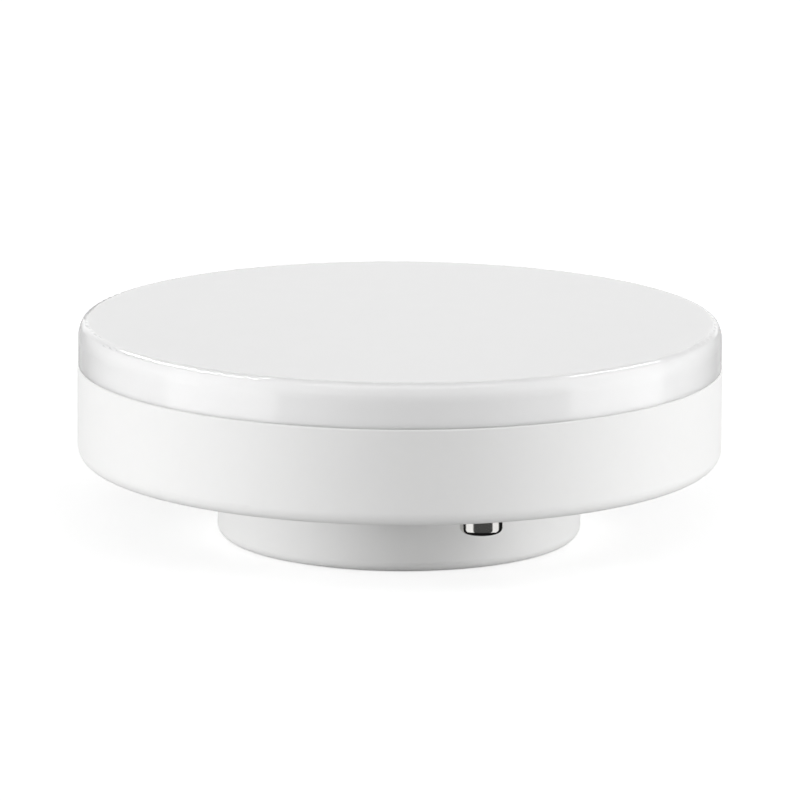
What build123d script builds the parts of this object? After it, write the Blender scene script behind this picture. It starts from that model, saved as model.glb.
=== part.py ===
"""A flat disc lamp with light-emitting diodes and a two-pin twist-lock cap.

The lamp stands on the end of its round boss, with the opal diffuser on top. +Z is the
lamp's axis, z = 0 is the boss's end, and the two contact pins lie on the Y axis. Sizes
are in millimetres. The driver circuit sits inside the boss, under an insulating cover;
the diode board lies on a pressed aluminium heat spreader above it.
"""

import os
from math import cos, pi, radians, sin

from build123d import *

# Outer form
lamp_diameter = 75.0
boss_height = 9.0
skirt_height = 11.2
diffuser_height = 5.1

# Housing moulding
skirt_wall = 1.8
rear_wall = 2.0
boss_wall = 1.7
boss_floor = 1.8
skirt_corner_radius = 1.6
boss_corner_radius = 1.2
boss_root_radius = 0.5
rim_radius = 0.25
inner_corner_radius = 0.6
boss_mouth_radius = 0.3
end_recess_depth = 0.4
end_land_width = 2.4
rib_count = 12
rib_thickness = 1.0
rib_floor_height = 1.4
rib_seat_width = 1.5
rib_start_gap = 1.0
post_count = 3
post_inset = 2.8
post_radius = 2.4

# Opal diffuser
diffuser_set_in = 0.1
diffuser_wall = 1.6
diffuser_top_wall = 1.4
shoulder_radius = 3.2
edge_radius = 0.9
shoulder_lean_deg = 28.0
diffuser_root_radius = 0.4
diffuser_corner_radius = 1.2
spigot_wall = 1.2
spigot_depth = 2.0
spigot_clearance = 0.15
bead_count = 6
bead_arc_deg = 22.0
bead_height = 0.6
bead_stand = 0.45
groove_clearance = 0.1

# Contact pins of the cap
pin_spacing = 53.0
pin_to_boss = 5.3
pin_projection = 3.35
pin_head_diameter = 4.9
pin_head_height = 1.9
pin_end_radius = 0.65
pin_edge_radius = 0.2
pin_neck_diameter = 3.2
pin_collar_wall = 1.3
pin_collar_height = 1.2
tag_thickness = 0.4
tag_radius = 2.7
tag_tail_width = 1.6
tag_tail_reach = 3.4
barrel_radius = 0.95
barrel_length = 2.0
rivet_radius = 2.1
rivet_height = 0.5
rivet_edge_radius = 0.4

# Heat spreader and diode board
spreader_thickness = 0.8
spreader_flange_gap = 0.2
spreader_clearance = 0.1
spreader_bend_radius = 0.2
board_thickness = 1.0
board_margin = 2.2
wire_hole_radius = 3.0
outer_diode_count = 12
outer_diode_inset = 8.6
inner_diode_count = 6
inner_diode_inset = 19.6
diode_length = 3.5
diode_width = 2.8
diode_height = 0.7
diode_frame = 0.4
diode_fill_depth = 0.4

# Screws that hold the diode board and the spreader
screw_radius = 1.1
screw_length = 5.2
screw_head_radius = 2.1
screw_head_height = 1.4
screw_head_edge = 0.5
screw_hole_clearance = 0.3
pilot_clearance = 0.3
cross_width = 0.6
cross_length = 2.4
cross_depth = 0.7

# Driver cover
cover_wall = 0.8
cover_flange_width = 1.2
cover_head_room = 0.2
cover_clearance = 0.4
cover_fit_clearance = 0.2
cover_plug_depth = 1.5
cover_hole_radius = 2.5
cover_notch_width = 2.4
cover_inner_radius = 0.4
cover_root_radius = 0.3
cover_edge_radius = 0.8

# Driver circuit board
driver_board_thickness = 1.2
driver_board_stand = 2.4
driver_board_clearance = 1.8
board_seat_width = 2.4
board_seat_bite = 1.0
hook_width = 3.0
hook_thickness = 0.9
hook_bite = 0.6
hook_nose_height = 1.1
hook_clearance = 0.2
lead_radius = 0.3
lead_tail = 0.8
lead_hole_clearance = 0.1
lead_bend_radius = 0.6
lead_reach = 1.2
solder_radius = 0.85
solder_height = 0.7
solder_tip_wall = 0.15
part_stand = 0.2
part_gap = 0.8

# Driver components
input_capacitor_diameter = 8.0
input_capacitor_length = 12.0
output_capacitor_diameter = 6.3
output_capacitor_length = 7.8
can_groove_start = 1.0
can_groove_height = 0.9
can_groove_depth = 0.35
can_groove_radius = 0.2
can_edge_radius = 0.5
can_score_width = 0.3
can_score_depth = 0.2
can_score_share = 0.6
lead_pitch = 3.5
small_lead_pitch = 2.5
film_length = 10.0
film_width = 4.5
film_height = 8.0
film_pitch = 7.5
film_edge_radius = 0.5
choke_flange_radius = 4.2
choke_neck_radius = 2.2
choke_height = 7.8
choke_flange_height = 1.3
choke_edge_radius = 0.3
choke_turns = 7
winding_inset = 0.5
winding_ridge_share = 1 / 3
varistor_radius = 3.4
varistor_thickness = 3.0
varistor_edge_radius = 1.2
resistor_radius = 1.35
resistor_length = 6.6
resistor_end_radius = 0.45
resistor_cap_length = 1.65
resistor_waist_depth = 0.2
resistor_taper = 0.4
resistor_shoulder_radius = 0.3
resistor_lead_reach = 0.9
rectifier_size = (6.2, 4.6, 1.8)
chip_size = (4.9, 3.9, 1.45)
chip_lead_count = 4
chip_lead_pitch = 1.27
rectifier_lead_count = 2
rectifier_lead_pitch = 3.6
gull_lead_width = 0.5
gull_lead_reach = 1.0
gull_lead_thickness = 0.2
diode_block_size = (2.6, 4.2, 2.0)
tab_thickness = 0.25
tab_reach = 0.6
chip_chamfer = 0.25
small_chip_size = (2.0, 1.25, 0.55)

# Wires
wire_diameter = 1.3
wire_bend_radius = 2.4
wire_bend_share = 0.9
led_wire_spread = 0.95
led_wire_rise = 1.5
led_wire_offset = 1.6
led_wire_reach = 4.6
led_wire_bend_radius = 1.3
led_wire_sway_radius = 4.8
led_wire_upright = 3.0
pad_inset = 1.5

# Radii
outer_radius = lamp_diameter / 2
skirt_inner_radius = outer_radius - skirt_wall
pin_radius = pin_spacing / 2
neck_radius = pin_neck_diameter / 2
boss_radius = pin_radius - pin_to_boss
boss_inner_radius = boss_radius - boss_wall
diffuser_radius = outer_radius - diffuser_set_in
spigot_radius = skirt_inner_radius - spigot_clearance
spreader_radius = skirt_inner_radius - spreader_clearance
led_board_radius = spreader_radius - spreader_thickness - board_margin
post_circle_radius = led_board_radius - post_inset
screw_hole_radius = screw_radius + screw_hole_clearance
driver_board_radius = boss_inner_radius - driver_board_clearance
cover_radius = boss_inner_radius + cover_flange_width
wire_radius = wire_diameter / 2

# Levels along the axis, from the boss's end upwards
rear_face_z = boss_height
rear_floor_z = rear_face_z + rear_wall
seam_z = boss_height + skirt_height
top_z = seam_z + diffuser_height
pin_end_z = rear_face_z - pin_projection
collar_top_z = rear_floor_z + pin_collar_height
tag_top_z = collar_top_z + tag_thickness
barrel_z = (collar_top_z + tag_top_z) / 2
driver_z = boss_floor + driver_board_stand
driver_top_z = driver_z + driver_board_thickness
tallest_part = max(
    input_capacitor_diameter,
    output_capacitor_length,
    film_height,
    choke_height,
    2 * varistor_radius,
)
cover_top_z = driver_top_z + part_stand + tallest_part + cover_clearance + cover_wall
spreader_z = max(cover_top_z, barrel_z + barrel_radius) + cover_head_room
board_z = spreader_z + spreader_thickness
board_top_z = board_z + board_thickness
spigot_end_z = seam_z - spigot_depth
flange_top_z = spigot_end_z - spreader_flange_gap
bead_z = spigot_end_z + bead_height

# Angles about the axis, in degrees
front_pin_deg = -90.0
rear_pin_deg = 90.0
first_post_deg = 0.0
hook_angles = (0.0, 180.0)
board_seat_angles = (45.0, 135.0, 225.0, 315.0)

# Places of the driver's upright parts on its board, packed outwards from the two wires in the middle
wires_side = led_wire_spread + wire_radius + part_gap
parts_back = led_wire_offset + wire_radius + part_gap
input_capacitor_y = parts_back + input_capacitor_diameter / 2
choke_x = wires_side + choke_flange_radius
choke_y = parts_back - part_gap - choke_flange_radius
output_capacitor_x = -wires_side - output_capacitor_diameter / 2
output_capacitor_y = parts_back - part_gap - output_capacitor_diameter / 2
resistor_x = output_capacitor_x - output_capacitor_diameter / 2 - part_gap - resistor_radius
film_x = wires_side - part_gap - film_length / 2
film_y = output_capacitor_y - output_capacitor_diameter / 2 - part_gap - film_width / 2
varistor_x = wires_side + varistor_radius
varistor_y = choke_y - choke_flange_radius - part_gap - varistor_thickness / 2

# Places of the flat parts under the driver board, between the solder joints
rectifier_place = (-0.4, 1.4)
chip_place = (1.5, 8.4)
diode_block_place = (film_x, film_y)
small_chip_places = (
    (7.5, 8.0),
    (7.5, 5.4),
    (5.4, 2.8),
    (-3.8, 8.8),
    (-3.8, 6.4),
    (1.0, -4.2),
    (-8.6, -2.4),
    (9.2, -5.4),
)


def turned(*corners, radii=None):
    """A solid of revolution about Z from its (radius, height) corners, each rounded by its own radius."""
    outline = FilletPolyline(*corners, radius=radii or [0] * len(corners), close=True)
    return revolve(Plane.XZ * make_face(outline), Axis.Z)


def disc(radius, low, high):
    return Pos(0, 0, low) * Cylinder(radius, high - low, align=(Align.CENTER, Align.CENTER, Align.MIN))


def ring(outer, inner, low, high):
    return disc(outer, low, high) - disc(inner, low, high)


def block(width, depth, low, high, x=0.0, y=0.0):
    base = (Align.CENTER, Align.CENTER, Align.MIN)
    return Pos(x, y, low) * Box(width, depth, high - low, align=base)


def on_circle(radius, angle_deg):
    """A location out along a radius, turned to face outwards."""
    return Rot(0, 0, angle_deg) * Pos(radius, 0, 0)


def even_angles(count, first_deg=0.0):
    return [first_deg + 360 / count * i for i in range(count)]


def tube_along(points, radii, diameter):
    """A round wire along straight runs joined by tangent arcs."""
    path = FilletPolyline(*points, radius=radii)
    start = Plane(origin=path @ 0, z_dir=path % 0)
    wire = sweep(start * Circle(diameter / 2), path)
    share = wire.volume / (pi * diameter**2 / 4 * path.length)
    print(f"wire {diameter} mm thick, bends {radii}, volume over section times length {share:.4f}")
    return wire


post_angles = even_angles(post_count, first_post_deg)
rib_angles = even_angles(rib_count, 180 / rib_count)


def housing_rib():
    """One radial rib: low across the rear wall, rising at the skirt to the seat for the spreader."""
    start = cover_radius + rib_start_gap
    seat_start = skirt_inner_radius - rib_seat_width
    low_top = rear_floor_z + rib_floor_height
    rise = spreader_z - low_top
    outline = Polyline(
        (start, rear_floor_z - rear_wall / 2),
        (start, low_top),
        (seat_start - rise, low_top),
        (seat_start, spreader_z),
        (skirt_inner_radius + skirt_wall / 2, spreader_z),
        (skirt_inner_radius + skirt_wall / 2, rear_floor_z - rear_wall / 2),
        close=True,
    )
    return extrude(Plane.XZ * make_face(outline), rib_thickness / 2, both=True)


def board_hook():
    """A springy hook that holds the driver board down; it faces -X from beyond the board's edge."""
    inner = driver_board_radius + hook_clearance
    nose_low = driver_top_z + hook_clearance
    outline = Polyline(
        (inner, boss_floor / 2),
        (inner, nose_low),
        (inner - hook_clearance - hook_bite, nose_low),
        (inner, nose_low + hook_nose_height),
        (inner + hook_thickness, nose_low + hook_nose_height),
        (inner + hook_thickness, boss_floor / 2),
        close=True,
    )
    return extrude(Plane.XZ * make_face(outline), hook_width / 2, both=True)


def housing():
    """The white moulding: a skirt, the rear wall with the pins, and the hollow boss of the cap."""
    body = turned(
        (0, 0),
        (boss_radius, 0),
        (boss_radius, rear_face_z),
        (outer_radius, rear_face_z),
        (outer_radius, seam_z),
        (skirt_inner_radius, seam_z),
        (skirt_inner_radius, rear_floor_z),
        (boss_inner_radius, rear_floor_z),
        (boss_inner_radius, boss_floor),
        (0, boss_floor),
        radii=[
            0,
            boss_corner_radius,
            boss_root_radius,
            skirt_corner_radius,
            rim_radius,
            0,
            inner_corner_radius,
            boss_mouth_radius,
            inner_corner_radius,
            0,
        ],
    )
    body -= disc(boss_radius - end_land_width, 0, end_recess_depth)
    body -= ring(
        skirt_inner_radius + bead_stand,
        skirt_inner_radius,
        bead_z - bead_height / 2 - groove_clearance,
        bead_z + bead_height / 2 + groove_clearance,
    )
    for angle in rib_angles:
        body += Rot(0, 0, angle) * housing_rib()
    for angle in post_angles:
        post = disc(post_radius, rear_floor_z - rear_wall / 2, spreader_z)
        body += on_circle(post_circle_radius, angle) * post
        pilot = disc(screw_radius, board_top_z - screw_length - pilot_clearance, spreader_z)
        body -= on_circle(post_circle_radius, angle) * pilot
    for angle in (front_pin_deg, rear_pin_deg):
        seat = on_circle(pin_radius, angle)
        body += seat * disc(neck_radius + pin_collar_wall, rear_floor_z - rear_wall / 2, collar_top_z)
        body -= seat * disc(neck_radius, rear_face_z, collar_top_z)
    seat_depth = boss_inner_radius + boss_wall / 2 - driver_board_radius + board_seat_bite
    board_seat = block(seat_depth, board_seat_width, boss_floor / 2, driver_z, x=seat_depth / 2)
    for angle in board_seat_angles:
        body += on_circle(driver_board_radius - board_seat_bite, angle) * board_seat
    for angle in hook_angles:
        body += Rot(0, 0, angle) * board_hook()
    return body


def diffuser():
    """The opal cap: a flat top, a softly leaning shoulder, and a spigot with snap beads inside the skirt."""
    lean = radians(shoulder_lean_deg)
    shoulder_low = (diffuser_radius, top_z - edge_radius * (1 - sin(lean)) - shoulder_radius * sin(lean))
    shoulder_high = (
        diffuser_radius - shoulder_radius * (1 - cos(lean)),
        shoulder_low[1] + shoulder_radius * sin(lean),
    )
    edge_high = (shoulder_high[0] - edge_radius * cos(lean), top_z)
    inner_radius = diffuser_radius - diffuser_wall
    inner_top = top_z - diffuser_top_wall
    spigot_inner = spigot_radius - spigot_wall
    outline = [
        Line((0, top_z), edge_high),
        TangentArc(edge_high, shoulder_high, tangent=(1, 0)),
        TangentArc(shoulder_low, shoulder_high, tangent=(0, 1)),
        Polyline(
            shoulder_low,
            (diffuser_radius, seam_z),
            (spigot_radius, seam_z),
            (spigot_radius, spigot_end_z),
            (spigot_inner, spigot_end_z),
            (spigot_inner, seam_z),
        ),
        FilletPolyline(
            (spigot_inner, seam_z),
            (inner_radius, seam_z + diffuser_wall),
            (inner_radius, inner_top),
            (0, inner_top),
            radius=[diffuser_root_radius, diffuser_corner_radius],
        ),
        Line((0, inner_top), (0, top_z)),
    ]
    cap = revolve(Plane.XZ * make_face(Curve() + outline), Axis.Z)
    bead_outline = Polyline(
        (spigot_radius - spigot_wall / 2, bead_z - bead_height / 2),
        (spigot_radius, bead_z - bead_height / 2),
        (spigot_radius + bead_stand, bead_z),
        (spigot_radius, bead_z + bead_height / 2),
        (spigot_radius - spigot_wall / 2, bead_z + bead_height / 2),
        close=True,
    )
    bead = revolve(Plane.XZ * make_face(bead_outline), Axis.Z, bead_arc_deg)
    for angle in even_angles(bead_count, -bead_arc_deg / 2):
        cap += Rot(0, 0, angle) * bead
    return cap


def contact_pin():
    """A turned contact: a round head, a thin neck through the rear wall, and a riveted inner end."""
    head_top = pin_end_z + pin_head_height
    head_radius = pin_head_diameter / 2
    return turned(
        (0, pin_end_z),
        (head_radius, pin_end_z),
        (head_radius, head_top),
        (neck_radius, head_top),
        (neck_radius, tag_top_z),
        (rivet_radius, tag_top_z),
        (rivet_radius, tag_top_z + rivet_height),
        (0, tag_top_z + rivet_height),
        radii=[0, pin_end_radius, pin_edge_radius, pin_edge_radius, 0, 0, rivet_edge_radius, 0],
    )


def contact_tag():
    """A brass solder tag under the rivet, with a crimp barrel that points inwards, towards -X."""
    tail_end = tag_radius + tag_tail_reach
    plate = disc(tag_radius, collar_top_z, tag_top_z)
    plate += block(tail_end, tag_tail_width, collar_top_z, tag_top_z, x=-tail_end / 2)
    barrel = Pos(-tail_end, 0, barrel_z) * Rot(0, -90, 0) * disc(barrel_radius, 0, barrel_length)
    return plate + barrel - disc(neck_radius, collar_top_z, tag_top_z)


def mains_wire():
    """The wire from a crimp barrel in over the boss's edge and down to the driver board, for a pin on +X."""
    start = pin_radius - tag_radius - tag_tail_reach - barrel_length
    pad = driver_board_radius - pad_inset
    points = [(start, 0, barrel_z), (pad, 0, barrel_z), (pad, 0, driver_top_z)]
    bend = min(wire_bend_radius, wire_bend_share * (start - pad))
    return tube_along(points, [bend], wire_diameter)


def heat_spreader():
    """The pressed aluminium dish that the diode board lies in."""
    dish = turned(
        (0, spreader_z),
        (spreader_radius, spreader_z),
        (spreader_radius, flange_top_z),
        (spreader_radius - spreader_thickness, flange_top_z),
        (spreader_radius - spreader_thickness, board_z),
        (0, board_z),
        radii=[0, spreader_thickness + spreader_bend_radius, 0, 0, spreader_bend_radius, 0],
    )
    dish -= disc(wire_hole_radius, spreader_z, board_z)
    for angle in post_angles:
        dish -= on_circle(post_circle_radius, angle) * disc(screw_hole_radius, spreader_z, board_z)
    return dish


def diode_board():
    """The round aluminium-cored board, with its wire hole and screw holes."""
    board = disc(led_board_radius, board_z, board_top_z) - disc(wire_hole_radius, board_z, board_top_z)
    for angle in post_angles:
        board -= on_circle(post_circle_radius, angle) * disc(screw_hole_radius, board_z, board_top_z)
    return board


def diode_places():
    """Where the diodes lie: an outer ring between the screws, and an inner ring."""
    rings = ((outer_diode_count, outer_diode_inset), (inner_diode_count, inner_diode_inset))
    return [
        on_circle(led_board_radius - inset, angle)
        for count, inset in rings
        for angle in even_angles(count, 180 / count)
    ]


def diode_packages():
    frame = block(diode_width, diode_length, board_top_z, board_top_z + diode_height)
    frame -= diode_window(board_top_z + diode_height - diode_fill_depth)
    return Compound([place * frame for place in diode_places()])


def diode_fills():
    fill = diode_window(board_top_z + diode_height - diode_fill_depth)
    return Compound([place * fill for place in diode_places()])


def diode_window(low):
    """The cup of a diode package, open at the top."""
    window = block(
        diode_width - 2 * diode_frame,
        diode_length - 2 * diode_frame,
        low,
        board_top_z + diode_height,
    )
    return fillet(window.edges().filter_by(Axis.Z), diode_frame)


def board_screws():
    """Self-tapping pan-head screws with a cross recess."""
    head_top = board_top_z + screw_head_height
    screw = turned(
        (0, board_top_z - screw_length),
        (screw_radius, board_top_z - screw_length + screw_radius),
        (screw_radius, board_top_z),
        (screw_head_radius, board_top_z),
        (screw_head_radius, head_top),
        (0, head_top),
        radii=[0, 0, 0, 0, screw_head_edge, 0],
    )
    for angle in (0, 90):
        slot = block(cross_length, cross_width, head_top - cross_depth, head_top)
        screw -= Rot(0, 0, angle) * slot
    return Compound([on_circle(post_circle_radius, angle) * screw for angle in post_angles])


def driver_cover():
    """The insulating cap over the driver: a plug in the boss's mouth, a flange, and a raised top."""
    plug_radius = boss_inner_radius - cover_fit_clearance
    cup_radius = plug_radius - cover_wall
    cover = turned(
        (0, cover_top_z - cover_wall),
        (cup_radius, cover_top_z - cover_wall),
        (cup_radius, rear_floor_z - cover_plug_depth),
        (plug_radius, rear_floor_z - cover_plug_depth),
        (plug_radius, rear_floor_z),
        (cover_radius, rear_floor_z),
        (cover_radius, rear_floor_z + cover_wall),
        (plug_radius, rear_floor_z + cover_wall),
        (plug_radius, cover_top_z),
        (0, cover_top_z),
        radii=[0, cover_inner_radius, 0, 0, 0, 0, 0, cover_root_radius, cover_edge_radius, 0],
    )
    cover -= disc(cover_hole_radius, cover_top_z - cover_wall, cover_top_z)
    reach = cover_radius - cup_radius + cover_notch_width
    middle = (cover_radius + cup_radius) / 2 - cover_notch_width / 2
    notch_top = tag_top_z + cover_notch_width / 2
    for angle in (front_pin_deg, rear_pin_deg):
        notch = block(reach, cover_notch_width, rear_floor_z - cover_plug_depth, notch_top, x=middle)
        cover -= Rot(0, 0, angle) * notch
    return cover


def pair_about(x, y, half_x, half_y):
    """The places of two leads, on each side of a point on the board."""
    return [(x - half_x, y - half_y), (x + half_x, y + half_y)]


input_lead_x = -input_capacitor_length / 2 - lead_reach
resistor_reach = resistor_length / 2 + resistor_lead_reach
input_leads = pair_about(input_lead_x, input_capacitor_y, 0, lead_pitch / 2)
output_leads = pair_about(output_capacitor_x, output_capacitor_y, 0, small_lead_pitch / 2)
film_leads = pair_about(film_x, film_y, film_pitch / 2, 0)
choke_leads = pair_about(choke_x, choke_y, lead_pitch / 2, lead_pitch / 2)
varistor_leads = pair_about(varistor_x, varistor_y, lead_pitch / 2, 0)
resistor_leads = pair_about(resistor_x, output_capacitor_y, 0, resistor_reach)


def all_leads():
    return output_leads + film_leads + choke_leads + varistor_leads + resistor_leads + input_leads


def straight_leads(points, top):
    return [Pos(x, y, 0) * disc(lead_radius, driver_z - lead_tail, top) for x, y in points]


def driver_board():
    board = disc(driver_board_radius, driver_z, driver_top_z)
    for x, y in all_leads():
        board -= Pos(x, y, 0) * disc(lead_radius + lead_hole_clearance, driver_z, driver_top_z)
    return board


def driver_solder():
    """The solder cones round the leads, under the driver board."""
    base = (Align.CENTER, Align.CENTER, Align.MIN)
    cone = Cone(lead_radius + solder_tip_wall, solder_radius, solder_height, align=base)
    cone = Pos(0, 0, driver_z - solder_height) * cone
    cone -= disc(lead_radius, driver_z - solder_height, driver_z)
    return Compound([Pos(x, y, 0) * cone for x, y in all_leads()])


def capacitor_can(diameter, length):
    """An upright aluminium can in its sleeve: a crimped groove near the lower end and a scored top."""
    radius = diameter / 2
    waist = radius - can_groove_depth
    groove_top = can_groove_start + can_groove_height
    can = turned(
        (0, 0),
        (radius, 0),
        (radius, can_groove_start),
        (waist, (can_groove_start + groove_top) / 2),
        (radius, groove_top),
        (radius, length),
        (0, length),
        radii=[0, can_edge_radius] + 3 * [can_groove_radius] + [can_edge_radius, 0],
    )
    for angle in (0, 90):
        score = block(diameter * can_score_share, can_score_width, length - can_score_depth, length)
        can -= Rot(0, 0, angle) * score
    return can


def output_capacitor():
    low = driver_top_z + part_stand
    can = capacitor_can(output_capacitor_diameter, output_capacitor_length)
    can = Pos(output_capacitor_x, output_capacitor_y, low) * can
    for lead in straight_leads(output_leads, low):
        can += lead
    return can


def input_capacitor():
    """The smoothing capacitor, lying along X, with its leads turned down through the board."""
    centre_z = driver_top_z + part_stand + input_capacitor_diameter / 2
    lie_down = Pos(-input_capacitor_length / 2, input_capacitor_y, centre_z) * Rot(0, 90, 0)
    can = lie_down * capacitor_can(input_capacitor_diameter, input_capacitor_length)
    for x, y in input_leads:
        path = [
            (-input_capacitor_length / 2, y, centre_z),
            (x, y, centre_z),
            (x, y, driver_z - lead_tail),
        ]
        can += tube_along(path, [lead_bend_radius], 2 * lead_radius)
    return can


def film_capacitor():
    low = driver_top_z + part_stand
    body = block(film_length, film_width, low, low + film_height, film_x, film_y)
    body = fillet(body.edges(), film_edge_radius)
    for lead in straight_leads(film_leads, low + film_edge_radius):
        body += lead
    return body


def choke_core():
    """The ferrite drum of the choke, with the two wire ends that hold it in the board."""
    low = driver_top_z + part_stand
    high = low + choke_height
    flange = choke_flange_radius
    neck = choke_neck_radius
    edges = 2 * [choke_edge_radius]
    drum = turned(
        (0, low),
        (flange, low),
        (flange, low + choke_flange_height),
        (neck, low + choke_flange_height),
        (neck, high - choke_flange_height),
        (flange, high - choke_flange_height),
        (flange, high),
        (0, high),
        radii=[0] + edges + [0, 0] + edges + [0],
    )
    drum = Pos(choke_x, choke_y, 0) * drum
    for lead in straight_leads(choke_leads, low):
        drum += lead
    return drum


def choke_winding():
    """The copper coil between the drum's flanges, its turns as rounded ridges."""
    low = driver_top_z + part_stand + choke_flange_height
    high = low + choke_height - 2 * choke_flange_height
    pitch = (high - low) / choke_turns
    outside = choke_flange_radius - winding_inset
    valley = outside - pitch * winding_ridge_share
    ridges = [
        ThreePointArc(
            (valley, low + i * pitch),
            (outside, low + (i + 0.5) * pitch),
            (valley, low + (i + 1) * pitch),
        )
        for i in range(choke_turns)
    ]
    back = Polyline((valley, high), (choke_neck_radius, high), (choke_neck_radius, low), (valley, low))
    coil = revolve(Plane.XZ * make_face(Curve() + ridges + [back]), Axis.Z)
    return Pos(choke_x, choke_y, 0) * coil


def varistor():
    """A dipped disc that stands on its two leads."""
    centre_z = driver_top_z + part_stand + varistor_radius
    puck = Cylinder(varistor_radius, varistor_thickness)
    puck = fillet(puck.edges(), varistor_edge_radius)
    body = Pos(varistor_x, varistor_y, centre_z) * Rot(90, 0, 0) * puck
    for lead in straight_leads(varistor_leads, centre_z):
        body += lead
    return body


def fuse_resistor():
    """An axial resistor with a dog-bone body, lying along Y."""
    x, y = resistor_x, output_capacitor_y
    centre_z = driver_top_z + part_stand + resistor_radius
    half = resistor_length / 2
    cap_low = resistor_cap_length - half
    waist = resistor_radius - resistor_waist_depth
    ends = [resistor_end_radius, resistor_shoulder_radius]
    body = turned(
        (0, -half),
        (resistor_radius, -half),
        (resistor_radius, cap_low),
        (waist, cap_low + resistor_taper),
        (waist, -cap_low - resistor_taper),
        (resistor_radius, -cap_low),
        (resistor_radius, half),
        (0, half),
        radii=[0, *ends, 0, 0, *reversed(ends), 0],
    )
    body = Pos(x, y, centre_z) * Rot(90, 0, 0) * body
    for side, (lead_x, lead_y) in zip((-1, 1), resistor_leads):
        path = [
            (x, y + side * half, centre_z),
            (lead_x, lead_y, centre_z),
            (lead_x, lead_y, driver_z - lead_tail),
        ]
        body += tube_along(path, [lead_bend_radius], 2 * lead_radius)
    return body


def gull_lead(body_width, body_height):
    """One bent lead on the +Y side of a chip: out, down and out again along the board."""
    half = body_width / 2
    middle = body_height / 2
    knee = half + gull_lead_reach / 2
    t = gull_lead_thickness
    outline = Polyline(
        (half - t, middle - t / 2),
        (knee - t, middle - t / 2),
        (knee - t, 0),
        (half + gull_lead_reach, 0),
        (half + gull_lead_reach, t),
        (knee, t),
        (knee, middle + t / 2),
        (half - t, middle + t / 2),
        close=True,
    )
    return extrude(Plane.YZ * make_face(outline), gull_lead_width / 2, both=True)


def leaded_chip(size, place, count, pitch):
    """A moulded chip with a row of gull-wing leads on each long side."""
    length, width, height = size
    body = block(length, width, gull_lead_thickness / 2, height)
    body = chamfer(body.edges().group_by(Axis.Z)[-1], chip_chamfer)
    lead = gull_lead(width, height)
    for i in range(count):
        x = (i - (count - 1) / 2) * pitch
        body += Pos(x, 0, 0) * lead
        body += Pos(x, 0, 0) * Rot(0, 0, 180) * lead
    return under_board(place) * body


def rectifier():
    return leaded_chip(rectifier_size, rectifier_place, rectifier_lead_count, rectifier_lead_pitch)


def driver_chip():
    return leaded_chip(chip_size, chip_place, chip_lead_count, chip_lead_pitch)


def under_board(place):
    """A location on the underside of the driver board, turned over to face down."""
    return Pos(place[0], place[1], driver_z) * Rot(180, 0, 0)


def diode_block():
    """The flyback diode: a block with a tab at each end."""
    width, length, height = diode_block_size
    body = block(width, length, tab_thickness / 2, height)
    body = chamfer(body.edges().group_by(Axis.Z)[-1], chip_chamfer)
    body += block(width / 2, length + 2 * tab_reach, 0, tab_thickness)
    return under_board(diode_block_place) * body


def small_chips():
    """The chip resistors and capacitors under the driver board."""
    length, width, height = small_chip_size
    chip = block(length, width, driver_z - height, driver_z)
    return Compound([Pos(x, y, 0) * chip for x, y in small_chip_places])


def led_wire(side):
    """A wire from the driver board up through the wire holes, then over to its pad on the diode board."""
    x = side * led_wire_spread
    top = board_top_z + wire_radius + led_wire_rise
    pad_x = side * (wire_hole_radius + led_wire_reach)
    knee = driver_top_z + led_wire_upright
    points = [
        (x, led_wire_offset, driver_top_z),
        (x, led_wire_offset, knee),
        (x, 0, knee + led_wire_upright),
        (x, 0, top),
        (pad_x, 0, top),
        (pad_x, 0, board_top_z),
    ]
    bends = 2 * [led_wire_sway_radius] + 2 * [led_wire_bend_radius]
    return tube_along(points, bends, wire_diameter)


def main():
    pin_places = {"front": front_pin_deg, "rear": rear_pin_deg}
    parts = {
        "housing": housing(),
        "diffuser": diffuser(),
        "heat_spreader": heat_spreader(),
        "diode_board": diode_board(),
        "diode_packages": diode_packages(),
        "diode_fills": diode_fills(),
        "board_screws": board_screws(),
        "driver_cover": driver_cover(),
        "driver_board": driver_board(),
        "driver_solder": driver_solder(),
        "input_capacitor": input_capacitor(),
        "output_capacitor": output_capacitor(),
        "film_capacitor": film_capacitor(),
        "choke_core": choke_core(),
        "choke_winding": choke_winding(),
        "varistor": varistor(),
        "fuse_resistor": fuse_resistor(),
        "rectifier": rectifier(),
        "driver_chip": driver_chip(),
        "diode_block": diode_block(),
        "small_chips": small_chips(),
        "led_wire_positive": led_wire(1),
        "led_wire_negative": led_wire(-1),
    }
    for name, angle in pin_places.items():
        seat = on_circle(pin_radius, angle)
        parts["contact_pin_" + name] = seat * contact_pin()
        parts["contact_tag_" + name] = seat * contact_tag()
        parts["mains_wire_" + name] = Rot(0, 0, angle) * mains_wire()
    os.makedirs("parts", exist_ok=True)
    for name, shape in parts.items():
        export_step(shape, f"parts/{name}.step")


main()
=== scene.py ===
from math import cos, pi, radians, sin

import bpy
import numpy as np
from mathutils import Matrix, Vector


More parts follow.
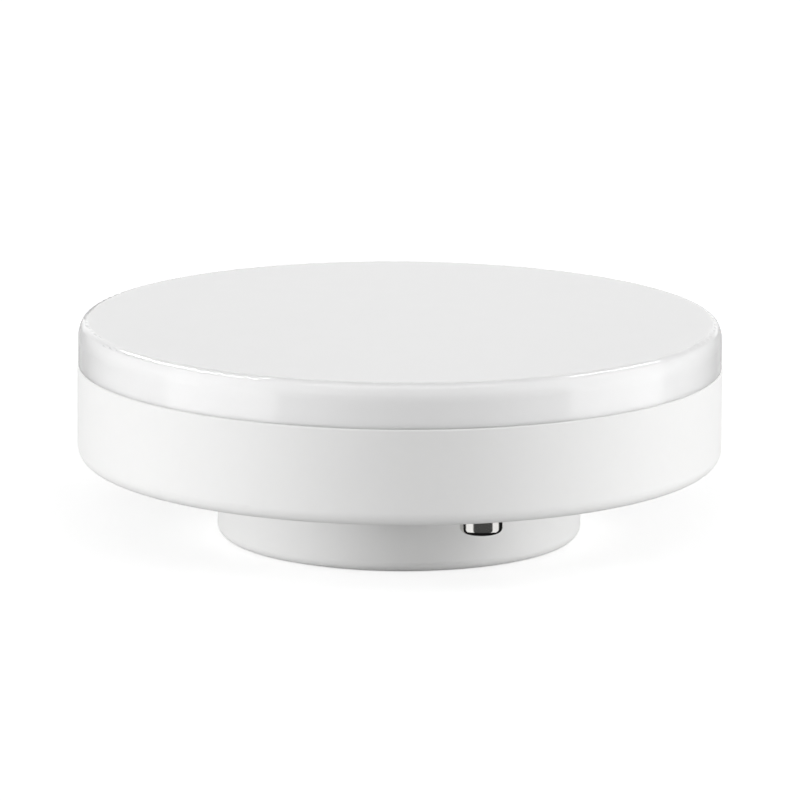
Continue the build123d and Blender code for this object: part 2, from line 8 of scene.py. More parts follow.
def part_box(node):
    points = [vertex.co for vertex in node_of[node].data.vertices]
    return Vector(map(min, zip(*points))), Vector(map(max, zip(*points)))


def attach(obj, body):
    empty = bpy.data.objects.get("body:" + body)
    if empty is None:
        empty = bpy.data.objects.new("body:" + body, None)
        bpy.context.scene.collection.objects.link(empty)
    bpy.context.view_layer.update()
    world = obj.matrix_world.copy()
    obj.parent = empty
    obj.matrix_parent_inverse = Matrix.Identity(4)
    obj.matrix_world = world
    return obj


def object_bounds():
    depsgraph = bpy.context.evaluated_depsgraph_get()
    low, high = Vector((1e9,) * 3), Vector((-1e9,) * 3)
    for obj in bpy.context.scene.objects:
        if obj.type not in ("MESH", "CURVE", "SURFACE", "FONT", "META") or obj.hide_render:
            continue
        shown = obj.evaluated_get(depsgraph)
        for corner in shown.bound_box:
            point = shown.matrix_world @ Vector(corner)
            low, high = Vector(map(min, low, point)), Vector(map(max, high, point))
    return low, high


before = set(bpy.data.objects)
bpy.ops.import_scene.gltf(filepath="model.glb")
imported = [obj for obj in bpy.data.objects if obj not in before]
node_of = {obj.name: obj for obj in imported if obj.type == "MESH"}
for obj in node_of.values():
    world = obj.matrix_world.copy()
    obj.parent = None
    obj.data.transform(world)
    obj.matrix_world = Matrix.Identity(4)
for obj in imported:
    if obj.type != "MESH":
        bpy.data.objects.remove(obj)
cad_low, cad_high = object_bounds()
mm = 0.001

# Housing: skirt, rear wall and hollow boss in one injection moulding of white plastic.
# Its satin skin has the faint orange peel of the tool. It carries every other piece,
# and the lamp is put together into it from the diffuser's side.
housing_white = (0.88, 0.88, 0.875, 1)
housing_shade = (0.865, 0.865, 0.86, 1)
housing_peel = 900
housing_relief = 0.002 * mm


def new_material(name, **sockets):
    """A material whose Principled BSDF has each named socket set to its own value."""
    material = bpy.data.materials.new(name)
    material.use_nodes = True
    shader = material.node_tree.nodes["Principled BSDF"]
    for socket, value in sockets.items():
        shader.inputs[socket.replace("_", " ")].default_value = value
    return material


def add_node(tree, kind, inputs, **settings):
    """A shader node with its settings made first.

    Each input is fed by another node's output, or set to a value.
    """
    node = tree.nodes.new("ShaderNode" + kind)
    for name, value in settings.items():
        setattr(node, name, value)
    for socket, value in inputs.items():
        if isinstance(value, bpy.types.NodeSocket):
            tree.links.new(value, node.inputs[socket])
        else:
            node.inputs[socket].default_value = value
    return node


def new_effect(name, inputs, outputs):
    """An empty shader group with named sockets.

    Gives back the group, the sockets that it is given, and the ones that it puts out.
    """
    group = bpy.data.node_groups.new(name, "ShaderNodeTree")
    for sockets, side in ((inputs, "INPUT"), (outputs, "OUTPUT")):
        for socket, kind in sockets.items():
            group.interface.new_socket(socket, in_out=side, socket_type="NodeSocket" + kind)
    given = group.nodes.new("NodeGroupInput").outputs
    out = group.nodes.new("NodeGroupOutput").inputs
    return group, given, out


def put_out_relief(group, given, out, cloud):
    """Ends an effect: its cloud goes out as a mask, and as a relief of the given depth."""
    bump = add_node(group, "Bump", {"Distance": given["Relief"], "Height": cloud})
    group.links.new(cloud, out["Mask"])
    group.links.new(bump.outputs["Normal"], out["Normal"])


def make_moulded_skin():
    """The skin of a moulding or a dipped coat: a soft cloud of noise, as a mask and a relief."""
    group, given, out = new_effect(
        "moulded_skin", {"Scale": "Float", "Relief": "Float"}, {"Mask": "Float", "Normal": "Vector"}
    )
    place = add_node(group, "TexCoord", {}).outputs["Object"]
    cloud = add_node(group, "TexNoise", {"Vector": place, "Scale": given["Scale"], "Detail": 3.0})
    put_out_relief(group, given, out, cloud.outputs["Fac"])
    return group


moulded_skin = make_moulded_skin()


def add_effect(material, effect, **values):
    """Places an effect in a material with its own values and relief, and gives back its mask."""
    tree = material.node_tree
    node = tree.nodes.new("ShaderNodeGroup")
    node.node_tree = effect
    for socket, value in values.items():
        node.inputs[socket].default_value = value
    if "Normal" in node.outputs:
        tree.links.new(node.outputs["Normal"], tree.nodes["Principled BSDF"].inputs["Normal"])
    return node.outputs["Mask"]


def lay_over(material, mask, **finish):
    """Where a mask is 1, a material has another finish.

    Each named socket goes from what it has to a new value.
    """
    tree = material.node_tree
    shader = tree.nodes["Principled BSDF"]
    for name, value in finish.items():
        socket = shader.inputs[name.replace("_", " ")]
        kind = "RGBA" if socket.type == "RGBA" else "FLOAT"
        under = socket.links[0].from_socket if socket.is_linked else socket.default_value
        mix = add_node(tree, "Mix", {"Factor": mask, "A": under, "B": value}, data_type=kind)
        tree.links.new(mix.outputs["Result"], socket)


def dress(material, *names):
    """Gives a material to the CAD's pieces of these names."""
    for name in names:
        node_of[name].material_slots[0].material = material


housing_plastic = new_material(
    "housing_plastic", Base_Color=housing_shade, Roughness=0.5, IOR=1.5, Specular_IOR_Level=0.3
)
peel = add_effect(housing_plastic, moulded_skin, Scale=housing_peel, Relief=housing_relief)
lay_over(housing_plastic, peel, Base_Color=housing_white, Roughness=0.6)
dress(housing_plastic, "housing")

# Contact pins: turned from brass bar and plated with bright nickel, then pushed through
# the rear wall and riveted. The turning tool leaves fine rings round each pin's axis.
nickel_light = (0.74, 0.73, 0.71, 1)
nickel_dark = (0.66, 0.65, 0.63, 1)
rings_per_metre = 9000
ring_relief = 0.0006 * mm
flatten = (1, 1, 0)


def make_lathe_rings():
    """The rings of a turned face: noise that depends only on height and on the distance from an
    upright axis.
    """
    group, given, out = new_effect(
        "lathe_rings",
        {"Centre": "Vector", "Scale": "Float", "Relief": "Float"},
        {"Mask": "Float", "Normal": "Vector"},
    )
    place = add_node(group, "TexCoord", {}).outputs["Object"]
    offset = add_node(
        group, "VectorMath", {0: place, 1: given["Centre"]}, operation="SUBTRACT"
    ).outputs["Vector"]
    level = add_node(group, "VectorMath", {0: offset, 1: flatten}, operation="MULTIPLY")
    radius = add_node(group, "VectorMath", {0: level.outputs["Vector"]}, operation="LENGTH")
    height = add_node(group, "SeparateXYZ", {"Vector": offset})
    section = add_node(
        group, "CombineXYZ", {"X": radius.outputs["Value"], "Z": height.outputs["Z"]}
    ).outputs["Vector"]
    cloud = add_node(group, "TexNoise", {"Vector": section, "Scale": given["Scale"], "Detail": 1.0})
    put_out_relief(group, given, out, cloud.outputs["Fac"])
    return group


lathe_rings = make_lathe_rings()
for side in ("front", "rear"):
    pin_low, pin_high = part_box("contact_pin_" + side)
    pin_middle = (pin_low + pin_high) / 2
    nickel = new_material("nickel_" + side, Base_Color=nickel_dark, Metallic=1.0, Roughness=0.08)
    rings = add_effect(
        nickel, lathe_rings, Centre=pin_middle, Scale=rings_per_metre, Relief=ring_relief
    )
    lay_over(nickel, rings, Base_Color=nickel_light, Roughness=0.18)
    dress(nickel, "contact_pin_" + side)

# Contact tags: stamped from rolled brass strip and held under the rivets, with a barrel
# that is crimped on the wire. The strip's grain runs along its length.
brass_light = (0.83, 0.66, 0.31, 1)
brass_dark = (0.69, 0.52, 0.22, 1)
strip_grain = (9000, 600, 9000)


def make_rolled_grain():
    """The grain of rolled sheet: noise that is drawn out along one axis."""
    group, given, out = new_effect(
        "rolled_grain",
        {"Grain": "Vector", "Relief": "Float"},
        {"Mask": "Float", "Normal": "Vector"},
    )
    place = add_node(group, "TexCoord", {}).outputs["Object"]
    drawn = add_node(
        group, "VectorMath", {0: place, 1: given["Grain"]}, operation="MULTIPLY"
    ).outputs["Vector"]
    cloud = add_node(group, "TexNoise", {"Vector": drawn, "Scale": 1.0, "Detail": 2.0})
    put_out_relief(group, given, out, cloud.outputs["Fac"])
    return group


rolled_grain = make_rolled_grain()
tag_brass = new_material("tag_brass", Base_Color=brass_dark, Metallic=1.0, Roughness=0.22)
grain = add_effect(tag_brass, rolled_grain, Grain=strip_grain, Relief=0.001 * mm)
lay_over(tag_brass, grain, Base_Color=brass_light, Roughness=0.36)
dress(tag_brass, "contact_tag_front", "contact_tag_rear")

# Mains wires: tinned copper in white silicone, crimped in the tags and led over the boss's
# edge down to the driver board, where their last millimetres are stripped.
strip_length = 1.2 * mm
far = 1000 * mm
tinned = {"Base_Color": (0.72, 0.72, 0.7, 1), "Metallic": 1.0, "Roughness": 0.3}


def make_between_planes():
    """A mask that is 1 between two parallel planes, which lie across an axis."""
    group, given, out = new_effect(
        "between_planes", {"Axis": "Vector", "Low": "Float", "High": "Float"}, {"Mask": "Float"}
    )
    place = add_node(group, "TexCoord", {}).outputs["Object"]
    reach = add_node(
        group, "VectorMath", {0: place, 1: given["Axis"]}, operation="DOT_PRODUCT"
    ).outputs["Value"]
    over = add_node(group, "Math", {0: reach, 1: given["Low"]}, operation="GREATER_THAN").outputs[0]
    under = add_node(group, "Math", {0: reach, 1: given["High"]}, operation="LESS_THAN").outputs[0]
    both = add_node(group, "Math", {0: over, 1: under}, operation="MULTIPLY")
    group.links.new(both.outputs[0], out["Mask"])
    return group


between_planes = make_between_planes()
driver_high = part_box("driver_board")[1]
board_face = driver_high.z


def tin_below(material, height):
    """Below a height, a part's leads or stripped ends show as tinned metal."""
    ends = add_effect(material, between_planes, Axis=(0, 0, 1), Low=-far, High=height)
    lay_over(material, ends, **tinned)


def insulation(name, colour, shade):
    """A wire's insulation, a little uneven in colour, with its end stripped above the board."""
    material = new_material(name, Base_Color=shade, Roughness=0.42, IOR=1.42)
    skin = add_effect(material, moulded_skin, Scale=1500, Relief=0.001 * mm)
    lay_over(material, skin, Base_Color=colour, Roughness=0.55)
    tin_below(material, board_face + strip_length)
    return material


mains_silicone = insulation("mains_silicone", (0.84, 0.84, 0.81, 1), (0.78, 0.78, 0.75, 1))
dress(mains_silicone, "mains_wire_front", "mains_wire_rear")

# Driver board: a round of glass-fibre laminate with copper on its underside, under a green
# solder mask. It stands on four seats in the boss, and two hooks snap over it.
mask_green = (0.045, 0.2, 0.07, 1)
copper_green = (0.09, 0.33, 0.11, 1)
laminate_tan = (0.48, 0.44, 0.24, 1)
pour_scale = 95
pour_gap = 0.018
row_shift = 0.37
short_patch = 0.55
short_patch_every = 3
edge_depth = 0.15 * mm


def make_copper_pours():
    """Where copper lies under a board's mask: 1 in rows of oblong patches, and 0 in their gaps.

    Each row is shifted against the last, and every third row has shorter patches.
    """
    group, given, out = new_effect(
        "copper_pours", {"Scale": "Float", "Gap": "Float"}, {"Mask": "Float"}
    )
    place = add_node(group, "TexCoord", {}).outputs["Object"]
    rows = add_node(
        group,
        "TexBrick",
        {
            "Vector": place,
            "Scale": given["Scale"],
            "Mortar Size": given["Gap"],
            "Mortar Smooth": 0.0,
        },
        offset=row_shift,
        squash=short_patch,
        squash_frequency=short_patch_every,
    )
    patch = add_node(group, "Math", {0: 1.0, 1: rows.outputs["Fac"]}, operation="SUBTRACT")
    group.links.new(patch.outputs[0], out["Mask"])
    return group


def make_outside_radius():
    """A mask that is 1 outside a radius from the lamp's axis."""
    group, given, out = new_effect("outside_radius", {"Radius": "Float"}, {"Mask": "Float"})
    place = add_node(group, "TexCoord", {}).outputs["Object"]
    level = add_node(group, "VectorMath", {0: place, 1: flatten}, operation="MULTIPLY")
    radius = add_node(group, "VectorMath", {0: level.outputs["Vector"]}, operation="LENGTH")
    over = add_node(
        group, "Math", {0: radius.outputs["Value"], 1: given["Radius"]}, operation="GREATER_THAN"
    )
    group.links.new(over.outputs[0], out["Mask"])
    return group


copper_pours = make_copper_pours()
outside_radius = make_outside_radius()
laminate = new_material("circuit_laminate", Base_Color=mask_green, Roughness=0.28, IOR=1.5)
pours = add_effect(laminate, copper_pours, Scale=pour_scale, Gap=pour_gap)
lay_over(laminate, pours, Base_Color=copper_green, Roughness=0.34)
cut_edge = add_effect(laminate, outside_radius, Radius=driver_high.x - edge_depth)
lay_over(laminate, cut_edge, Base_Color=laminate_tan, Roughness=0.7)
dress(laminate, "driver_board")

# Solder joints: cones of tin alloy round the leads on the board's underside, which cool
# with a slightly crazed, bright surface.
solder = new_material("solder", Base_Color=(0.55, 0.56, 0.58, 1), Metallic=1.0, Roughness=0.18)
craze = add_effect(solder, moulded_skin, Scale=4000, Relief=0.004 * mm)
lay_over(solder, craze, Base_Color=(0.72, 0.73, 0.74, 1), Roughness=0.36)
dress(solder, "driver_solder")

# Electrolytic capacitors: aluminium cans in a shrunk black sleeve, which leaves the scored
# end bare and has a paler stripe along the negative lead. One lies down and one stands.
sleeve_black = (0.022, 0.022, 0.026, 1)
sleeve_sheen = (0.035, 0.035, 0.04, 1)
stripe_grey = (0.45, 0.46, 0.47, 1)
can_metal = {"Base_Color": (0.8, 0.81, 0.82, 1), "Metallic": 1.0, "Roughness": 0.3}
sleeve_turn_in = 0.25 * mm
stripe_half = 0.9 * mm


def sleeved_can(name, axis, bare_end, stripe_axis, stripe_middle):
    """A sleeved can's material, with a stripe where a sideways coordinate is near its middle."""
    material = new_material(name, Base_Color=sleeve_black, Roughness=0.24, IOR=1.5, Coat_Weight=0.2)
    skin = add_effect(material, moulded_skin, Scale=700, Relief=0.002 * mm)
    lay_over(material, skin, Base_Color=sleeve_sheen, Roughness=0.32)
    stripe = add_effect(
        material,
        between_planes,
        Axis=stripe_axis,
        Low=stripe_middle - stripe_half,
        High=stripe_middle + stripe_half,
    )
    lay_over(material, stripe, Base_Color=stripe_grey)
    bare = add_effect(material, between_planes, Axis=axis, Low=bare_end - sleeve_turn_in, High=far)
    lay_over(material, bare, **can_metal)
    return material


input_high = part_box("input_capacitor")[1]
output_low, output_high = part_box("output_capacitor")
lying_sleeve = sleeved_can(
    "lying_sleeve", (1, 0, 0), input_high.x, (0, 0, 1), (board_face + input_high.z) / 2
)
tin_below(lying_sleeve, board_face)
dress(lying_sleeve, "input_capacitor")
standing_sleeve = sleeved_can(
    "standing_sleeve", (0, 0, 1), output_high.z, (1, 0, 0), (output_low.x + output_high.x) / 2
)
tin_below(standing_sleeve, board_face)
dress(standing_sleeve, "output_capacitor")

# Film capacitor: a block of wound foil in a glossy moulded case, potted from below. It
# keeps the driver's own noise off the mains.
film_case = new_material("film_case", Base_Color=(0.6, 0.42, 0.06, 1), Roughness=0.16, IOR=1.52)
ripple = add_effect(film_case, moulded_skin, Scale=350, Relief=0.004 * mm)
lay_over(film_case, ripple, Base_Color=(0.7, 0.51, 0.1, 1), Roughness=0.26)
tin_below(film_case, board_face)
dress(film_case, "film_capacitor")

# Choke: enamelled copper wire wound on a sintered ferrite drum, whose two ends go down
# through the board. The enamel is clear and glossy, and its turns differ a little in colour.
ferrite = new_material("ferrite", Base_Color=(0.035, 0.035, 0.038, 1), Roughness=0.55)
grit = add_effect(ferrite, moulded_skin, Scale=5000, Relief=0.006 * mm)
lay_over(ferrite, grit, Base_Color=(0.085, 0.085, 0.09, 1), Roughness=0.75)
tin_below(ferrite, board_face)
dress(ferrite, "choke_core")
winding_low, winding_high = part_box("choke_winding")
enamel = new_material(
    "enamelled_copper",
    Base_Color=(0.42, 0.13, 0.04, 1),
    Metallic=1.0,
    Roughness=0.2,
    Coat_Weight=0.6,
    Coat_Roughness=0.1,
)
wound = add_effect(
    enamel, lathe_rings, Centre=(winding_low + winding_high) / 2, Scale=5000, Relief=0.01 * mm
)
lay_over(enamel, wound, Base_Color=(0.72, 0.3, 0.12, 1), Roughness=0.3)
dress(enamel, "choke_winding")

# Varistor: a ceramic disc between two leads, dipped in blue epoxy that stays glossy and
# slightly wavy. It takes up surges on the mains.
blue_dip = new_material("blue_dip", Base_Color=(0.03, 0.1, 0.3, 1), Roughness=0.14, IOR=1.55)
waves = add_effect(blue_dip, moulded_skin, Scale=500, Relief=0.02 * mm)
lay_over(blue_dip, waves, Base_Color=(0.06, 0.17, 0.42, 1), Roughness=0.22)
tin_below(blue_dip, board_face)
dress(blue_dip, "varistor")

# Fusible resistor: a ceramic rod with pressed end caps under a grey-green lacquer, with
# plain colour rings round its body.
ring_colours = ((0.3, 0.12, 0.04, 1), (0.02, 0.02, 0.02, 1), (0.5, 0.36, 0.06, 1))
ring_width = 0.55 * mm
ring_pitch = 1.2 * mm
lacquer = new_material("resistor_lacquer", Base_Color=(0.2, 0.32, 0.26, 1), Roughness=0.35, IOR=1.5)
drips = add_effect(lacquer, moulded_skin, Scale=1200, Relief=0.006 * mm)
lay_over(lacquer, drips, Base_Color=(0.27, 0.4, 0.33, 1), Roughness=0.45)
resistor_low, resistor_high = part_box("fuse_resistor")
first_ring = (resistor_low.y + resistor_high.y) / 2 - ring_pitch
for i, colour in enumerate(ring_colours):
    start = first_ring + i * ring_pitch - ring_width / 2
    ring = add_effect(
        lacquer, between_planes, Axis=(0, 1, 0), Low=start, High=start + ring_width
    )
    lay_over(lacquer, ring, Base_Color=colour)
tin_below(lacquer, board_face)
dress(lacquer, "fuse_resistor")

# Moulded chips under the board: the rectifier, the driver chip and the flyback diode, in
# black epoxy with a spark-eroded skin. Their bent leads are tinned.
chip_lead_reach = {"rectifier": 1.0 * mm, "driver_chip": 1.0 * mm, "diode_block": 0.6 * mm}
for name, reach in chip_lead_reach.items():
    epoxy = new_material("epoxy_" + name, Base_Color=(0.018, 0.018, 0.019, 1), Roughness=0.5)
    spark = add_effect(epoxy, moulded_skin, Scale=8000, Relief=0.004 * mm)
    lay_over(epoxy, spark, Base_Color=(0.045, 0.045, 0.047, 1), Roughness=0.68)
    chip_low, chip_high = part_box(name)
    for low, high in ((-far, chip_low.y + reach), (chip_high.y - reach, far)):
        leads = add_effect(epoxy, between_planes, Axis=(0, 1, 0), Low=low, High=high)
        lay_over(epoxy, leads, **tinned)
    dress(epoxy, name)

# Chip resistors and capacitors: small sintered bricks with tinned ends. The resistors are
# nearly black, and the capacitors, which are the ones on the lying can's side, are tan.
chip_length = 2.0 * mm
chip_cap = 0.35 * mm
chip_margin = 0.05 * mm
chip_tolerance = 0.01 * mm
micrometre_digits = 6
capacitor_side = 4.1 * mm
chip_ceramic = new_material("chip_ceramic", Base_Color=(0.05, 0.05, 0.055, 1), Roughness=0.35)
tan_side = add_effect(chip_ceramic, between_planes, Axis=(0, 1, 0), Low=capacitor_side, High=far)
lay_over(chip_ceramic, tan_side, Base_Color=(0.42, 0.3, 0.18, 1), Roughness=0.5)
chip_mesh = node_of["small_chips"].data
chip_points = np.empty(3 * len(chip_mesh.vertices))
chip_mesh.vertices.foreach_get("co", chip_points)
chip_faces_x = np.unique(np.round(chip_points[::3], micrometre_digits))
for start in chip_faces_x:
    if not np.isclose(chip_faces_x, start + chip_length, rtol=0, atol=chip_tolerance).any():
        continue
    for low, high in (
        (start - chip_margin, start + chip_cap),
        (start + chip_length - chip_cap, start + chip_length + chip_margin),
    ):
        cap = add_effect(chip_ceramic, between_planes, Axis=(1, 0, 0), Low=low, High=high)
        lay_over(chip_ceramic, cap, **tinned)
dress(chip_ceramic, "small_chips")

# Driver cover: an insulating cap of thin, slightly milky plastic. It plugs into the
# boss's mouth over the driver and keeps the mains away from the metal above it.
cover_plastic = new_material(
    "cover_plastic",
    Base_Color=(0.74, 0.74, 0.71, 1),
    Roughness=0.4,
    Subsurface_Weight=0.4,
    Subsurface_Scale=0.5 * mm,
)
cover_skin = add_effect(cover_plastic, moulded_skin, Scale=1100, Relief=0.003 * mm)
lay_over(cover_plastic, cover_skin, Base_Color=(0.79, 0.79, 0.77, 1), Roughness=0.52)
dress(cover_plastic, "driver_cover")

# Diode wires: thin insulated wires, red for plus and black for minus, which go up from
# the driver through the middle holes to the pads of the diode board.
red_wire = insulation("red_wire", (0.6, 0.04, 0.035, 1), (0.48, 0.03, 0.03, 1))
dress(red_wire, "led_wire_positive")
black_wire = insulation("black_wire", (0.03, 0.03, 0.032, 1), (0.02, 0.02, 0.02, 1))
dress(black_wire, "led_wire_negative")

# Heat spreader: a dish pressed from aluminium sheet that lies on the housing's ribs. The
# sheet's rolling marks run straight across it.
sheet_grain = (150, 5000, 5000)
spreader = new_material(
    "spreader_aluminium", Base_Color=(0.66, 0.67, 0.68, 1), Metallic=1.0, Roughness=0.28
)
marks = add_effect(spreader, rolled_grain, Grain=sheet_grain, Relief=0.0015 * mm)
lay_over(spreader, marks, Base_Color=(0.79, 0.8, 0.81, 1), Roughness=0.42)
dress(spreader, "heat_spreader")

# Diode board: an aluminium sheet with copper tracks under a white solder mask. The mask
# covers only the upper face, so the cut edge and the underside stay bare metal.
mask_thickness = 0.05 * mm
track_scale = 48
track_gap = 0.012
led_board_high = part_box("diode_board")[1]
white_board = new_material("white_board", Base_Color=(0.8, 0.8, 0.78, 1), Roughness=0.3, IOR=1.5)
tracks = add_effect(white_board, copper_pours, Scale=track_scale, Gap=track_gap)
lay_over(white_board, tracks, Base_Color=(0.86, 0.86, 0.84, 1), Roughness=0.36)
bare_core = add_effect(
    white_board, between_planes, Axis=(0, 0, 1), Low=-far, High=led_board_high.z - mask_thickness
)
lay_over(white_board, bare_core, Base_Color=(0.76, 0.77, 0.78, 1), Metallic=1.0, Roughness=0.38)
dress(white_board, "diode_board")

# Diodes: matte white moulded cups, each filled with clear silicone that holds yellow
# phosphor grains.
cup_plastic = new_material("cup_plastic", Base_Color=(0.84, 0.82, 0.76, 1), Roughness=0.5)
cup_skin = add_effect(cup_plastic, moulded_skin, Scale=3000, Relief=0.002 * mm)
lay_over(cup_plastic, cup_skin, Base_Color=(0.88, 0.87, 0.82, 1), Roughness=0.62)
dress(cup_plastic, "diode_packages")
phosphor = new_material(
    "phosphor",
    Base_Color=(0.8, 0.56, 0.06, 1),
    Roughness=0.12,
    IOR=1.41,
    Subsurface_Weight=0.6,
    Subsurface_Scale=0.3 * mm,
)
grains = add_effect(phosphor, moulded_skin, Scale=20000, Relief=0.0005 * mm)
lay_over(phosphor, grains, Base_Color=(0.88, 0.7, 0.16, 1), Roughness=0.2)
dress(phosphor, "diode_fills")

# Board screws: pan-head self-tapping screws of zinc-plated steel, which pull the diode
# board and the spreader down on the housing's posts.
zinc = new_material("zinc_steel", Base_Color=(0.5, 0.5, 0.51, 1), Metallic=1.0, Roughness=0.24)
spangle = add_effect(zinc, moulded_skin, Scale=2500, Relief=0.002 * mm)
lay_over(zinc, spangle, Base_Color=(0.66, 0.66, 0.67, 1), Roughness=0.4)
dress(zinc, "board_screws")

# Their thread: a sharp ridge that cuts its own way into the post, wound up each shank
# from the point to just under the spreader.
screw_count = 3
head_radius = 2.1 * mm
shank_radius = 1.1 * mm
crest_radius = 1.38 * mm
thread_pitch = 0.8 * mm
thread_root = 0.34 * mm
point_length = 1.1 * mm
sunk_root = 0.05 * mm
least_ridge = 0.02
steps_per_turn = 40
screws_low, screws_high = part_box("board_screws")
spreader_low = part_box("heat_spreader")[0]
screw_circle = screws_high.x - head_radius


def thread_ridge(low, high):
    """Points of one ridge, as (step, corner, xyz).

    The ridge's section is a triangle of two root corners and a crest. It is carried along a
    helix (r cos t, r sin t, pitch t / 2 pi), and it runs out to nothing over the last half turn
    at each end.
    """
    turns = (high - low) / thread_pitch
    root = shank_radius - sunk_root
    t = np.linspace(0, 2 * pi * turns, int(turns * steps_per_turn))[:, None]
    fade = np.clip(np.minimum(t, t[-1] - t) / pi, least_ridge, 1)
    radius = root + np.array([0, crest_radius - root, 0])[None, :] * fade
    rise = np.array([-thread_root / 2, 0, thread_root / 2])[None, :] * fade
    height = low + thread_pitch * t / (2 * pi) + rise
    return np.stack([radius * np.cos(t), radius * np.sin(t), height], axis=-1)


def thread_mesh():
    """All the screws' ridges in one mesh: the helix of each is the same, moved out to its screw."""
    ridge = thread_ridge(screws_low.z + point_length, spreader_low.z)
    steps, corners = ridge.shape[:2]
    angles = 2 * pi * np.arange(screw_count) / screw_count
    places = screw_circle * np.stack([np.cos(angles), np.sin(angles), 0 * angles], axis=-1)
    points = (ridge[None] + places[:, None, None, :]).reshape(-1, 3)
    i, k = np.meshgrid(np.arange(steps - 1), np.arange(corners), indexing="ij")
    here = i * corners + k
    beside = i * corners + (k + 1) % corners
    strip = np.stack([here, here + corners, beside + corners, beside], axis=-1).reshape(-1, 4)
    shift = (np.arange(screw_count) * steps * corners)[:, None]
    sides = (strip[None] + shift[:, :, None]).reshape(-1, 4).tolist()
    first_end = np.arange(corners)
    last_end = steps * corners - 1 - first_end
    ends = (shift + first_end).tolist() + (shift + last_end).tolist()
    mesh = bpy.data.meshes.new("screw_threads")
    mesh.from_pydata(points.tolist(), [], sides + ends)
    mesh.materials.append(zinc)
    return mesh


screw_threads = bpy.data.objects.new("screw_threads", thread_mesh())
bpy.context.scene.collection.objects.link(screw_threads)
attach(screw_threads, "root")

# Diffuser: a cap of opal plastic that snaps into the skirt and closes the lamp. It is
# glossy outside, and the white pigment in it scatters light a short way under the skin.
opal_light = (0.96, 0.96, 0.96, 1)
opal_shade = (0.945, 0.945, 0.945, 1)
opal = new_material(
    "opal",
    Base_Color=opal_shade,
    Roughness=0.1,
    IOR=1.5,
    Subsurface_Weight=1.0,
    Subsurface_Scale=0.8 * mm,
    Subsurface_Radius=(1.0, 1.0, 1.0),
    Coat_Weight=0.4,
    Coat_Roughness=0.06,
)
flow = add_effect(opal, moulded_skin, Scale=250, Relief=0.0008 * mm)
lay_over(opal, flow, Base_Color=opal_light, Roughness=0.14)
dress(opal, "diffuser")

# Camera: the photograph's long lens, which looks down on the lamp a little, with the front
# contact pin to the right of the middle.
camera_azimuth = radians(-20.6)
camera_elevation = radians(11.83)
camera_roll = radians(0.383)
camera_distance = 0.8
camera_lens = 309.1
sensor_width = 36
aim_height = 15.72 * mm
aim_side = 0.03 * mm
into_view = Vector((-sin(camera_azimuth), cos(camera_azimuth), 0))
to_right = Vector((cos(camera_azimuth), sin(camera_azimuth), 0))
camera_data = bpy.data.cameras.new("camera")
camera_data.lens = camera_lens
camera_data.sensor_width = sensor_width
camera = bpy.data.objects.new("camera", camera_data)
bpy.context.scene.collection.objects.link(camera)
bpy.context.scene.camera = camera
aim = Vector((0, 0, aim_height)) + to_right * aim_side
look = (into_view * cos(camera_elevation) - Vector((0, 0, sin(camera_elevation)))).normalized()
turned = look.to_track_quat("-Z", "Y").to_matrix().to_4x4()
rolled = turned @ Matrix.Rotation(camera_roll, 4, "Z")
camera.matrix_world = Matrix.Translation(aim - look * camera_distance) @ rolled

# Floor: a plain white table. It takes the lamp's shadow and lights it a little from below. A
# glow that only the camera sees makes it as white as the surroundings.
floor_size = 6.0
floor_grey = (0.8, 0.8, 0.8, 1)
floor_lift = 0.53
bpy.ops.mesh.primitive_plane_add(size=floor_size)
floor = bpy.context.object
floor.name = "floor"
floor.visible_glossy = False
floor_paper = new_material(
    "floor_paper",
    Base_Color=floor_grey,
    Roughness=1.0,
    Specular_IOR_Level=0.0,
    Emission_Color=(1, 1, 1, 1),
)
paper = floor_paper.node_tree
seen = add_node(paper, "LightPath", {}).outputs["Is Camera Ray"]
lift = add_node(paper, "Math", {0: seen, 1: floor_lift}, operation="MULTIPLY")
paper.links.new(lift.outputs[0], paper.nodes["Principled BSDF"].inputs["Emission Strength"])
floor.data.materials.append(floor_paper)

# Light: a dark studio with white cards, painted on the world by direction. Below the horizon
# stands the table's mirror image, which only gloss shows, because the floor keeps its light
# out. The backdrop is about as white in gloss as the background is for the camera.
dark_light = 0.02
dark_shine = 0.01
least_fade = 0.001
# A card's middle azimuth, half width and fade; its lowest and highest elevation; its light and
# its shine: the first falls on matte surfaces, and gloss and metal show the second. Angles are
# in degrees, and an azimuth is counted from the camera to the right.
cards = {
    "left_softbox": ((-67, 23, 3), (-40, 68), (1.05, 0.8)),
    "left_image": ((-67, 23, 3), (-40, 0), (0.0, 0.35)),
    "right_softbox": ((85, 22, 3), (-40, 68), (0.9, 0.75)),
    "right_image": ((85, 22, 3), (-40, 0), (0.0, 0.35)),
    "front_card": ((9, 52, 4), (12, 34), (0.83, 0.7)),
    "front_softbox": ((9, 52, 4), (34, 68), (0.83, 2.2)),
    "studio_walls": ((0, 181, 0), (0, 35), (0.0, 0.2)),
    "ceiling": ((0, 181, 0), (68, 91), (0.3, 1.2)),
    "upper_backdrop": ((180, 60, 12), (35, 68), (0.1, 1.0)),
    "backdrop": ((180, 24, 24), (0, 35), (1.8, 0.9)),
    "backdrop_image": ((180, 22, 24), (-40, 0), (0.0, 0.5)),
    "front_image": ((9, 70, 20), (-40, 12), (0.0, 0.07)),
}
world = bpy.data.worlds.new("studio")
bpy.context.scene.world = world
world.use_nodes = True
studio = world.node_tree
direction = add_node(studio, "TexCoord", {}).outputs["Generated"]


def studio_math(operation, *values):
    """One sum on the studio's directions, and its result."""
    return add_node(studio, "Math", dict(enumerate(values)), operation=operation).outputs[0]


def studio_along(axis):
    """How far a direction goes along an axis."""
    node = add_node(studio, "VectorMath", {0: direction, 1: axis}, operation="DOT_PRODUCT")
    return node.outputs["Value"]


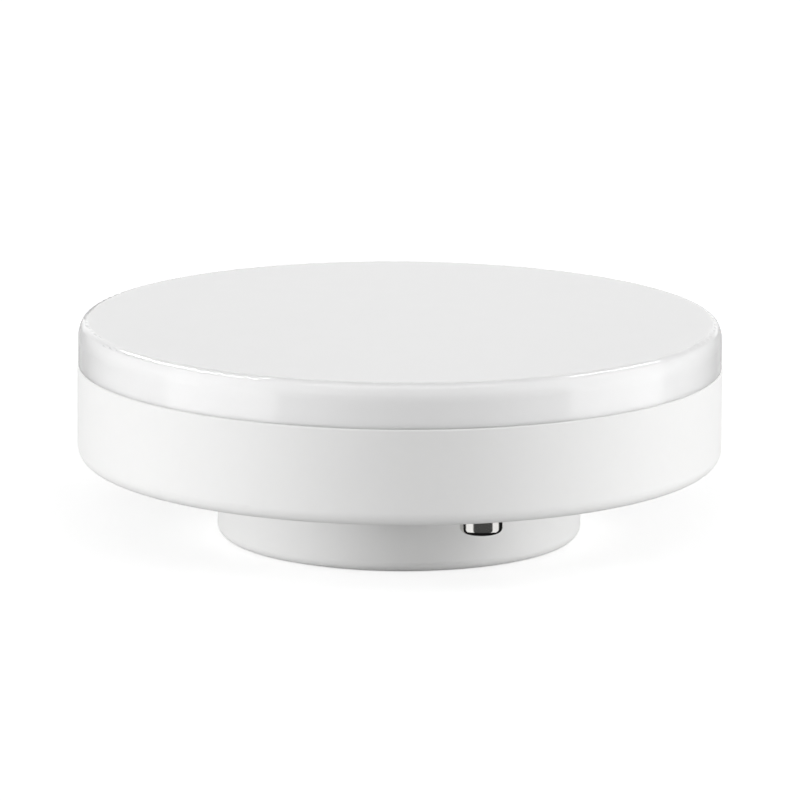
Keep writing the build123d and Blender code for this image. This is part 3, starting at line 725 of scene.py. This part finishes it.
azimuth = studio_math("ARCTAN2", studio_along(to_right), studio_along(-into_view))
elevation = studio_math("ARCSINE", studio_along((0, 0, 1)), 0)
light, shine = dark_light, dark_shine
for (middle, half, fade), (low, high), (card_light, card_shine) in cards.values():
    turned = studio_math("SUBTRACT", azimuth, radians(middle))
    aside = studio_math("ABSOLUTE", studio_math("WRAP", turned, pi, -pi), 0)
    outer = radians(half + fade / 2)
    inner = min(radians(half - fade / 2), outer - least_fade)
    edge = {"Value": aside, "From Min": outer, "From Max": inner}
    across = add_node(studio, "MapRange", edge, interpolation_type="SMOOTHSTEP").outputs["Result"]
    over = studio_math("GREATER_THAN", elevation, radians(low))
    under = studio_math("LESS_THAN", elevation, radians(high))
    inside = studio_math("MULTIPLY", across, studio_math("MULTIPLY", over, under))
    light = studio_math("MULTIPLY_ADD", inside, card_light, light)
    shine = studio_math("MULTIPLY_ADD", inside, card_shine, shine)
path = add_node(studio, "LightPath", {}).outputs
lit = add_node(studio, "Mix", {"Factor": path["Is Glossy Ray"], "A": light, "B": shine})
seen_through = studio_math("MAXIMUM", path["Is Camera Ray"], path["Is Transmission Ray"])
strength = add_node(studio, "Mix", {"Factor": seen_through, "A": lit.outputs["Result"], "B": 1.0})
background = studio.nodes["Background"].inputs
studio.links.new(strength.outputs["Result"], background["Strength"])
background["Color"].default_value = (1, 1, 1, 1)

# Lamps: two wide strips low at the sides, which reach in under the skirt and which no gloss
# shows, and two tubes above and behind, which only gloss shows, as a thin line along the
# diffuser's edge. A lamp's ends are two directions, each an azimuth and an elevation.
lamp_distance = 1.2
lamps = {
    "left_strip": {"ends": ((-92, 5), (-68, 5)), "width": 0.2, "power": 7.4, "in_gloss": False},
    "right_strip": {"ends": ((76, 5), (100, 5)), "width": 0.2, "power": 7.7, "in_gloss": False},
    "left_tube": {"ends": ((-113, 65), (-144, 30)), "width": 0.1, "power": 2.3, "in_gloss": True},
    "right_tube": {"ends": ((118, 60), (138, 38)), "width": 0.1, "power": 2.2, "in_gloss": True},
}
lit_centre = Vector((0, 0, (cad_low.z + cad_high.z) / 2))


def stand_at(azimuth, elevation):
    """The point at the lamps' distance from the lit centre, in a direction given in degrees."""
    level = to_right * sin(radians(azimuth)) - into_view * cos(radians(azimuth))
    raised = level * cos(radians(elevation)) + Vector((0, 0, sin(radians(elevation))))
    return lit_centre + raised * lamp_distance


for name, lamp in lamps.items():
    first, last = [stand_at(*end) for end in lamp["ends"]]
    middle = (first + last) / 2
    lengthwise = (last - first).normalized()
    away = (middle - lit_centre).normalized()
    panel = bpy.data.lights.new(name, "AREA")
    panel.shape = "RECTANGLE"
    panel.size = (last - first).length
    panel.size_y = lamp["width"]
    panel.energy = lamp["power"]
    box = bpy.data.objects.new(name, panel)
    facing = Matrix((lengthwise, away.cross(lengthwise), away)).transposed()
    box.matrix_world = Matrix.Translation(middle) @ facing.to_4x4()
    box.visible_camera = False
    box.visible_glossy = lamp["in_gloss"]
    box.visible_diffuse = not lamp["in_gloss"]
    bpy.context.scene.collection.objects.link(box)

bpy.context.scene.view_settings.view_transform = "Standard"
